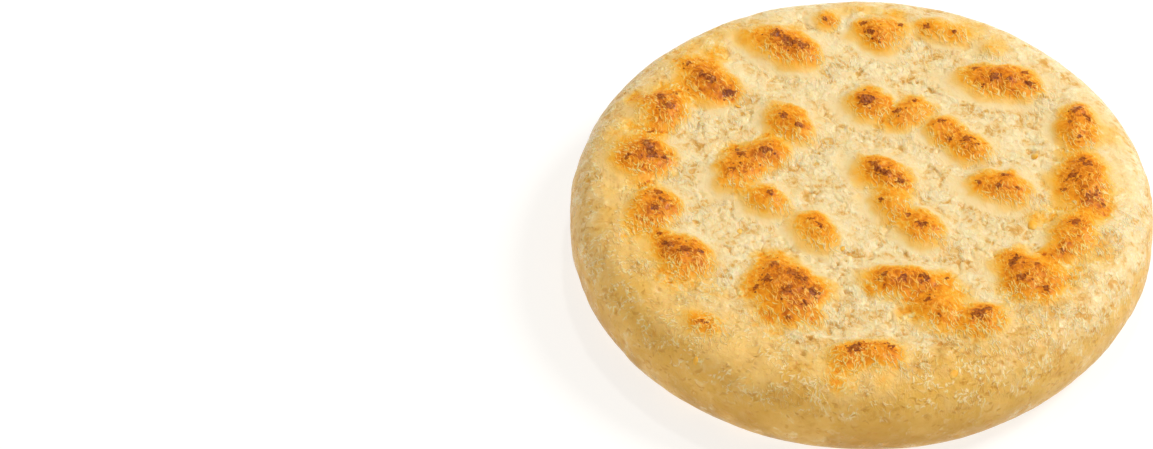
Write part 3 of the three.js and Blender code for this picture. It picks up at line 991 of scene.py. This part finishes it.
class Browning(Graph):
    """The nodes that turn masks and relief into the colours of griddled dough, with painted shade in hollows
    and painted highlights on ridges.
    """

    def __init__(self, group, colours):
        super().__init__(group)
        self.colours = colours
        self.given = self.add("NodeGroupInput").outputs
        self.place = self.given["Vector"]
        self.relief = self.given["Relief"]
        self.clouds = self.noise(self.place, 0.16, 2, 0.5)
        self.patches = self.noise(self.place, 0.5, 2, 0.6)
        self.flecks = self.noise(self.place, 1.3, 1, 0.5, 0.6)

        # the griddle browned the underside in patches of its own
        patchy = self.span(self.noise(self.place, 0.085, 3.0, 0.6), 0.46, 0.66)
        scorched = self.times(self.given["Underside"], patchy)
        sooty = self.times(scorched, self.span(self.noise(self.place, 0.35, 2.0), 0.52, 0.66))
        self.browned = self.plus(self.given["Browned"], self.times(scorched, 0.85))
        self.charred = self.plus(self.given["Charred"], self.times(sooty, 0.8))

        # strands' ridges get their painted highlight most where the browning is faint
        self.frayed = self.span(self.browned, 0.55, 0.95, 1.0, 0.45)
        # depth sets the painted shade in pits, crevices and marks, and the painted highlight on ridges
        dents = self.plus(self.given["Crevice"], self.times(self.given["Mark"], 0.3))
        self.depth = self.minus(self.relief, self.times(dents, 0.85))

    def tone(self, name):
        return (*getattr(self.colours, name), 1)

    def toast(self):
        """How brown the skin is, broken up by noise and by its strands, from 0 to about 1."""
        wander = self.plus(self.times(self.centred(self.patches), 0.45),
                           self.times(self.centred(self.flecks), 0.35))
        gate = self.times(self.span(self.browned, 0.05, 0.45),
                          self.span(self.given["Waxy"], 0.0, 1.0, 1.0, 0.5))
        stray = self.minus(wander, self.times(self.relief, self.times(self.frayed, 0.4)))
        tint = self.times(self.minus(0.5, self.given["Tint"]), 0.25)
        return self.plus(self.plus(self.browned, self.times(stray, gate)), tint)

    def crumb(self):
        """Dough of the top, with painted shade in its pits and crevices and painted highlights on its
        ridges.
        """
        c = self.colours
        between = tuple(low + (high - low) * 0.6 for low, high in zip(c.pit_shade, c.dough))
        return self.ramp(self.span(self.depth, -1.7, 1.1), [
            (0.0, c.pit_shade), (0.26, between), (0.48, c.dough), (0.85, c.pale), (1.0, c.palest)])

    def crust(self):
        """Dough of the wall: darker low down and towards the left as painted shade, with clouds of honey,
        toasted flecks, painted highlights on its ridges and partly painted shade in its hollows.
        """
        crust = self.mix(self.given["Low"], self.tone("crust"), self.tone("low_crust_painted_shade"))
        crust = self.mix(self.span(self.clouds, 0.4, 0.65, 0.0, 0.5), crust, self.tone("honey"))
        # toasted flecks on the wall's dashes, and the same darker colour in its dents, which is partly
        # painted shade
        flecked = self.times(self.highest(self.given["Fleck"], self.given["Crevice"]), 0.85)
        crust = self.mix(flecked, crust, self.tone("fleck"))
        # painted highlight on the dabs and ridges of the wall's relief
        crust = self.mix(self.span(self.relief, 0.1, 0.9, 0.0, 0.5), crust, self.tone("pale"))
        # darker in the hollows of the relief: the wall's own dashes, and painted shade elsewhere
        return self.mix(self.span(self.relief, -0.1, -0.9, 0.0, 0.6), crust, self.tone("fleck"))

    def plain(self):
        """Dough that isn't browned: crumb on the top, and crust on the wall and the golden rim."""
        crusty = self.plus(self.given["Wall"], self.centred(self.clouds))
        crusty = self.plus(crusty, self.times(self.centred(self.patches), 0.5))
        plain = self.mix(self.span(crusty, 0.0, 1.0), self.crumb(), self.crust())
        return self.mix(self.times(self.given["Fleck"], 0.5), plain, self.tone("fleck"))

    def toasted(self, toast):
        """Browned skin with painted highlights on its ridges."""
        c = self.colours
        toasted = self.ramp(toast, [
            (0.0, c.dough), (0.16, c.honey), (0.36, c.golden), (0.56, c.orange), (0.78, c.amber),
            (0.95, c.russet)])
        ridges = self.times(self.span(self.relief, 0.0, 0.9), self.times(self.frayed, 0.65))
        return self.mix(ridges, toasted, self.tone("bright"))

    def burnt(self):
        """Where the skin is charred: in ragged spots and in small specks on the brownest dough."""
        dots = self.add("ShaderNodeTexVoronoi", {"Vector": self.place, "Scale": 0.75}).outputs
        chance = self.parts("Color", dots["Color"])[0]
        dots = self.times(self.span(dots["Distance"], 0.26, 0.12), self.span(chance, 0.6, 0.62))
        specks = self.highest(dots, self.times(self.given["Mark"], 0.4))
        specks = self.times(specks, self.span(self.browned, 0.4, 0.65))
        edge = self.plus(self.charred, self.times(self.centred(self.flecks), 1.5))
        return self.span(self.plus(edge, specks), 0.55, 0.74)

    def char(self):
        """Charred skin, from its darkest lines to paler streaks, which follow noise and, as painted
        highlight, the ridges of its relief.
        """
        streaks = self.noise(self.place, 1.6, 1, 0.5, 0.8)
        streaks = self.plus(self.times(streaks, 1.6), self.times(self.relief, 0.45))
        char = self.mix(self.span(streaks, 0.5, 0.85), self.tone("char"), self.tone("brown"))
        return self.mix(self.span(streaks, 1.0, 1.35), char, self.tone("ash_and_sheen"))

    def lit_ridges_shaded_hollows(self, colour, burnt):
        """A colour with painted highlights on its ridges, pale and turning yellow beside the browning, and
        with painted shade in its hollows.
        """
        shown = self.times(self.span(self.given["Wall"], 0.0, 1.0, 0.8, 0.85), self.span(burnt, 1.0, 0.0))
        ridges = self.times(self.span(self.relief, 0.5, 1.1), self.times(self.frayed, shown))
        golden = self.highest(self.span(self.browned, 0.02, 0.35), self.times(self.given["Wall"], 0.5))
        colour = self.mix(ridges, colour, self.mix(golden, self.tone("palest"), self.tone("yellow_highlight")))
        hollow_shade = self.mix(1.0, colour, (0.92, 0.80, 0.56, 1), "MULTIPLY")
        return self.mix(self.span(self.depth, -0.4, -1.4), colour, hollow_shade)

    def tinted(self, colour):
        """A colour made paler where the tint is over a half."""
        gold = self.highest(self.span(self.browned, 0.05, 0.4), self.times(self.given["Wall"], 0.3))
        paler = self.mix(gold, self.tone("palest"), self.tone("bright"))
        return self.mix(self.span(self.given["Tint"], 0.5, 1.0, 0.0, 0.8), colour, paler)


def browning_group(colours):
    """The group of the dough's colours: pale, honey, golden, amber, brown and charred."""
    group = new_group(
        "Griddle browning",
        [("Vector", None), ("Browned", 0.0), ("Charred", 0.0), ("Crevice", 0.0), ("Waxy", 0.0),
         ("Wall", 0.0), ("Low", 0.0), ("Tint", 0.5), ("Relief", 0.0), ("Mark", 0.0), ("Fleck", 0.0),
         ("Underside", 0.0)],
        [("Color", "NodeSocketColor")])
    g = Browning(group, colours)
    toast = g.toast()
    colour = g.mix(g.span(toast, 0.0, 0.16), g.plain(), g.toasted(toast))
    burnt = g.burnt()
    colour = g.mix(burnt, colour, g.char())
    colour = g.tinted(g.lit_ridges_shaded_hollows(colour, burnt))
    group.links.new(colour, g.add("NodeGroupOutput").inputs["Color"])
    return group


def shared_groups():
    """The node groups, made once."""
    made = bpy.data.node_groups
    colours = bpy.context.scene.arepa_colours
    return {
        "browning": made.get("Griddle browning") or browning_group(colours),
        "wrinkles": made.get("Fine wrinkles") or wrinkle_group(),
    }


def dough_material(name, roughness, grain, scatter, reach):
    """Moist griddled dough.

    grain is the height of its fine relief and reach how far light spreads in it, in millimetres. scatter is
    the share of the light that does.
    """
    material = bpy.data.materials.new(name)
    material.use_nodes = True
    tree = material.node_tree
    tree.nodes.clear()
    g = Graph(tree)
    groups = shared_groups()
    metres = g.add("ShaderNodeTexCoord").outputs["Object"]
    place = g.add("ShaderNodeVectorMath", {0: metres, "Scale": 1 / MM}, operation="SCALE").outputs[0]
    skin = g.add("ShaderNodeCombineXYZ", {0: g.mask("skin_x"), 1: g.mask("skin_y")}).outputs[0]
    masks = {mask.capitalize(): g.mask(mask) for mask in MASKS}
    for_relief = {key: masks[key] for key in ("Rise", "Strandy", "Waxy", "Wall", "Low")}
    for_colour = {key: mask for key, mask in masks.items() if key not in ("Rise", "Strandy")}
    wrinkles = g.add("ShaderNodeGroup", {"Vector": place, "Skin": skin, **for_relief},
                     node_tree=groups["wrinkles"]).outputs
    colour = g.add("ShaderNodeGroup", {
        "Vector": place, "Relief": wrinkles["Relief"], "Mark": wrinkles["Mark"], "Fleck": wrinkles["Fleck"],
        **for_colour}, node_tree=groups["browning"])
    bump = g.add("ShaderNodeBump", {"Height": wrinkles["Relief"], "Strength": 1.0, "Distance": grain * MM})
    gloss = g.plus(g.noise(place, 0.7, 2), g.times(wrinkles["Relief"], 0.2))
    rough = g.span(gloss, 0.3, 0.85, roughness + 0.06, roughness - 0.17)
    shader = g.add("ShaderNodeBsdfPrincipled", {
        "Base Color": colour.outputs["Color"], "Roughness": rough, "Normal": bump.outputs["Normal"],
        "Subsurface Weight": scatter, "Subsurface Radius": (1.0, 0.55, 0.25), "Subsurface Scale": reach * MM,
        "IOR": 1.42, "Specular IOR Level": 0.3})
    out = g.add("ShaderNodeOutputMaterial")
    tree.links.new(shader.outputs["BSDF"], out.inputs["Surface"])
    return material


# ---------------------------------------------------------------- operators

CAMERA_ABOVE = 45.32  # how far above the level the camera looks from, in degrees
CAMERA_TURNS = ((2.18, "Z"), (3.07, "Y"), (-0.07, "X"))  # about its own axes, in degrees
CAMERA_LENS = 165.2  # in millimetres


class AREPA_OT_body(bpy.types.Operator):
    """Press the ball of dough, raise its blisters and give it its crumb"""

    bl_idname = "arepa.body"
    bl_label = "Cake"

    def execute(self, context):
        bpy.ops.object.select_all(action="DESELECT")
        bpy.ops.mesh.primitive_ico_sphere_add(subdivisions=8, radius=1)
        body = context.active_object
        body.name = body.data.name = BODY_PIECE
        ball = vertex_vectors(body.data, "co")
        ball /= np.linalg.norm(ball, axis=1)[:, None]
        points, masks = shape_cake(ball, context.scene.arepa_cake)
        body.data.vertices.foreach_set("co", (points * MM).ravel())
        body.data.update()
        put_masks(body.data, masks)
        only(body)
        thin = body.modifiers.new("Thin", "DECIMATE")
        thin.ratio = BODY_TRIANGLES / len(body.data.polygons)
        bpy.ops.object.modifier_apply(modifier=thin.name)
        look = dough_material("Griddled dough", roughness=0.38, grain=0.11, scatter=0.35, reach=1.3)
        body.data.materials.append(look)
        finish_piece(body)
        return {"FINISHED"}


class AREPA_OT_bits(bpy.types.Operator):
    """Lay the fine strands and the bits of maize on the cake"""

    bl_idname = "arepa.bits"
    bl_label = "Strands and bits of maize"

    def execute(self, context):
        body = bpy.data.objects[BODY_PIECE]
        tree = BVHTree.FromObject(body, context.evaluated_depsgraph_get())
        look = dough_material("Crumb strands", roughness=0.4, grain=0.03, scatter=0.2, reach=0.8)
        self.strands(body, tree, look, context.scene.arepa_strands)
        self.corn(tree, look)
        return {"FINISHED"}

    def strands(self, body, tree, look, settings):
        """Lays fine bent strands on the fronts of the blisters."""
        bpy.ops.object.select_all(action="DESELECT")
        bpy.ops.mesh.primitive_uv_sphere_add(segments=4, ring_count=7, radius=1)
        prototype = take_prototype("strand")
        count, rng = settings.count, np.random.default_rng(settings.seed)
        spots = Spots(body.data, count, rng)

        def sizes(ends):
            return rng.uniform(*ends, count) * MM

        points = lay_strands(
            tree, prototype, spots, heading=rng.normal(STRAND_HEADING, STRAND_HEADING_SPREAD, count),
            length=sizes(STRAND_LENGTH), width=sizes(STRAND_WIDTH), height=sizes(STRAND_HEIGHT),
            bend=rng.normal(0, 1, count) * STRAND_BEND, tilt=rng.uniform(-1, 1, count) * STRAND_TILT,
            hump=sizes(STRAND_HUMP), sink=sizes(STRAND_SINK))
        masks = spots.masks
        masks["browned"] = masks["browned"] * rng.uniform(*STRAND_BROWN, count)
        masks["charred"] = masks["charred"] * rng.uniform(*STRAND_CHAR, count)
        masks["crevice"] = masks["crevice"] * 0.15
        masks["strandy"], masks["rise"] = np.zeros(count), np.ones(count)
        masks["tint"] = rng.uniform(*STRAND_TINT, count)
        self.finish("blister_strands", prototype, points, masks, look)

    def corn(self, tree, look):
        """Sets golden bits of maize half into the skin."""
        bpy.ops.object.select_all(action="DESELECT")
        bpy.ops.mesh.primitive_ico_sphere_add(subdivisions=2, radius=1)
        prototype = take_prototype("bit of maize")
        points, count = [], len(CORN_BITS)
        for x, y, length, width, turn in CORN_BITS:
            place, up = tree.ray_cast(Vector((x * MM, y * MM, 0.05)), Vector((0, 0, -1)))[:2]
            size = Matrix.Diagonal((length / 2 * MM, width / 2 * MM, width / 4 * MM, 1))
            sunk = Matrix.Translation(place - up * width / 9 * MM)
            at = sunk @ up.to_track_quat("Z", "Y").to_matrix().to_4x4()
            at @= Matrix.Rotation(math.radians(turn), 4, "Z") @ size
            points.append([at @ vertex.co for vertex in prototype.vertices])
        masks = {name: np.zeros(count) for name in MASKS}
        masks["browned"], masks["tint"] = np.full(count, 0.32), np.full(count, 0.5)
        masks["rise"] = np.ones(count)  # keeps the fine chips of the crumb off the bits
        self.finish("corn_bits", prototype, np.array(points), masks, look)

    def finish(self, name, prototype, points, masks, look):
        """Joins the copies into one piece, and removes the prototype."""
        piece = joined_copies(name, prototype, points, masks)
        bpy.data.meshes.remove(prototype)
        piece.data.materials.append(look)
        finish_piece(piece)


class AREPA_OT_stage(bpy.types.Operator):
    """Add the floor, the lights and the camera"""

    bl_idname = "arepa.stage"
    bl_label = "Stage"

    def execute(self, context):
        stage = context.scene.arepa_stage
        self.floor(context, stage)
        self.lights(context, stage)
        self.camera(context, stage)
        context.scene.view_settings.view_transform = "Standard"
        return {"FINISHED"}

    def floor(self, context, stage):
        bpy.ops.object.select_all(action="DESELECT")
        bpy.ops.mesh.primitive_plane_add(size=6)
        floor = context.active_object
        floor.name = "floor"
        material = bpy.data.materials.new("Pale floor")
        material.use_nodes = True
        shader = material.node_tree.nodes["Principled BSDF"]
        shader.inputs["Base Color"].default_value = (*stage.floor, 1)
        shader.inputs["Roughness"].default_value = 0.9
        shader.inputs["Emission Color"].default_value = (1, 1, 1, 1)
        shader.inputs["Emission Strength"].default_value = stage.floor_glow
        floor.data.materials.append(material)

    def lights(self, context, stage):
        """Round lamps that look at the cake, and an even sky."""

        def lamp(name, place, size, power, colour=(1, 1, 1)):
            data = bpy.data.lights.new(name, "AREA")
            data.color = colour
            data.shape = "DISK"
            data.size = size
            data.energy = power
            made = bpy.data.objects.new(name, data)
            made.location = place
            made.rotation_euler = Vector(place).to_track_quat("Z", "Y").to_euler()
            context.scene.collection.objects.link(made)

        lamp("key", (0.85, 0.3, 0.95), 0.5, stage.key)
        lamp("glint", (0.12, 0.3, 1.2), 0.1, stage.glint)
        lamp("fill", (-0.8, -0.9, 1.0), 0.9, stage.fill, stage.warmth)
        world = bpy.data.worlds.new("Studio")
        world.use_nodes = True
        sky = world.node_tree.nodes["Background"]
        sky.inputs["Color"].default_value = (*stage.warmth, 1)
        sky.inputs["Strength"].default_value = stage.sky
        context.scene.world = world

    def camera(self, context, stage):
        """A camera that looks down at the middle of the cake, turned a little to frame it to the right."""
        above = math.radians(CAMERA_ABOVE)
        back = Vector((0, -math.cos(above), math.sin(above)))
        right = Vector((1, 0, 0))
        aim = Matrix((right, back.cross(right), back)).transposed()
        for degrees, axis in CAMERA_TURNS:
            aim @= Matrix.Rotation(math.radians(degrees), 3, axis)
        data = bpy.data.cameras.new("camera")
        data.lens = CAMERA_LENS
        data.sensor_width = 36
        data.clip_end = 20
        camera = bpy.data.objects.new("camera", data)
        camera.matrix_world = aim.to_4x4()
        half_up = context.scene.arepa_cake.thickness / 2
        camera.location = Vector((0, 0, half_up)) + back * stage.distance
        context.scene.collection.objects.link(camera)
        context.scene.camera = camera


# ---------------------------------------------------------------- panel and run


class AREPA_PT_panel(bpy.types.Panel):
    bl_idname = "AREPA_PT_panel"
    bl_label = "Griddled arepa"
    bl_space_type = "VIEW_3D"
    bl_region_type = "UI"
    bl_category = "Arepa"

    def draw(self, context):
        for operator in OPERATORS:
            self.layout.operator(operator.bl_idname)


SETTINGS = {
    "arepa_cake": CakeSettings,
    "arepa_strands": StrandSettings,
    "arepa_colours": ColourSettings,
    "arepa_stage": StageSettings,
}
OPERATORS = (AREPA_OT_body, AREPA_OT_bits, AREPA_OT_stage)
CLASSES = (*SETTINGS.values(), *OPERATORS, AREPA_PT_panel)


def register():
    for cls in CLASSES:
        bpy.utils.register_class(cls)
    for name, cls in SETTINGS.items():
        setattr(bpy.types.Scene, name, PointerProperty(type=cls))


def unregister():
    for name in SETTINGS:
        delattr(bpy.types.Scene, name)
    for cls in reversed(CLASSES):
        bpy.utils.unregister_class(cls)


def main():
    register()
    bpy.ops.arepa.body()
    bpy.ops.arepa.bits()
    bpy.ops.arepa.stage()


if __name__ == "__main__":
    main()
